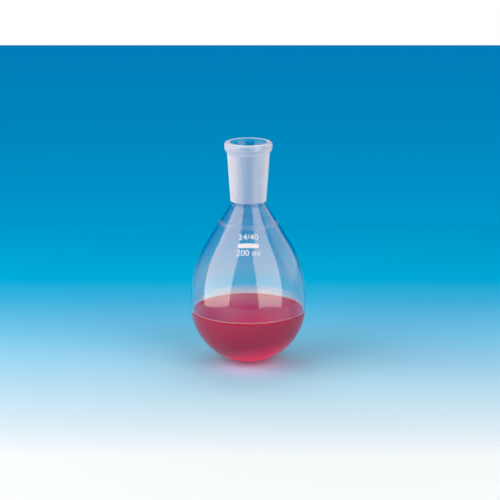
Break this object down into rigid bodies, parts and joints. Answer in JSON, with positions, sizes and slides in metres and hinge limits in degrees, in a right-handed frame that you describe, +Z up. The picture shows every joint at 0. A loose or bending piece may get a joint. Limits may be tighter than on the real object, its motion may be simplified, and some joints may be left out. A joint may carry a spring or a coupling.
{
  "type": "recovery flask",
  "caption": "Pear-shaped round-bottomed glass recovery flask with a flared neck, a tapered ground socket and a beaded rim, part filled with red liquid.",
  "frame": {"origin": "under the lowest point of the round bottom, on the flask's axis", "axes": "+Z up the axis to the mouth; the printed marks face -Y"},
  "size_m": [0.0802, 0.0802, 0.1551],
  "materials": {
    "clear_glass": "clear, polished",
    "ground_glass": "fine ground, frosted",
    "white_enamel": "fired white enamel print",
    "red_liquid": "clear coloured liquid"
  },
  "bodies": {
    "root": {"flask": "clear_glass", "liquid": "red_liquid"}
  },
  "joints": []
}
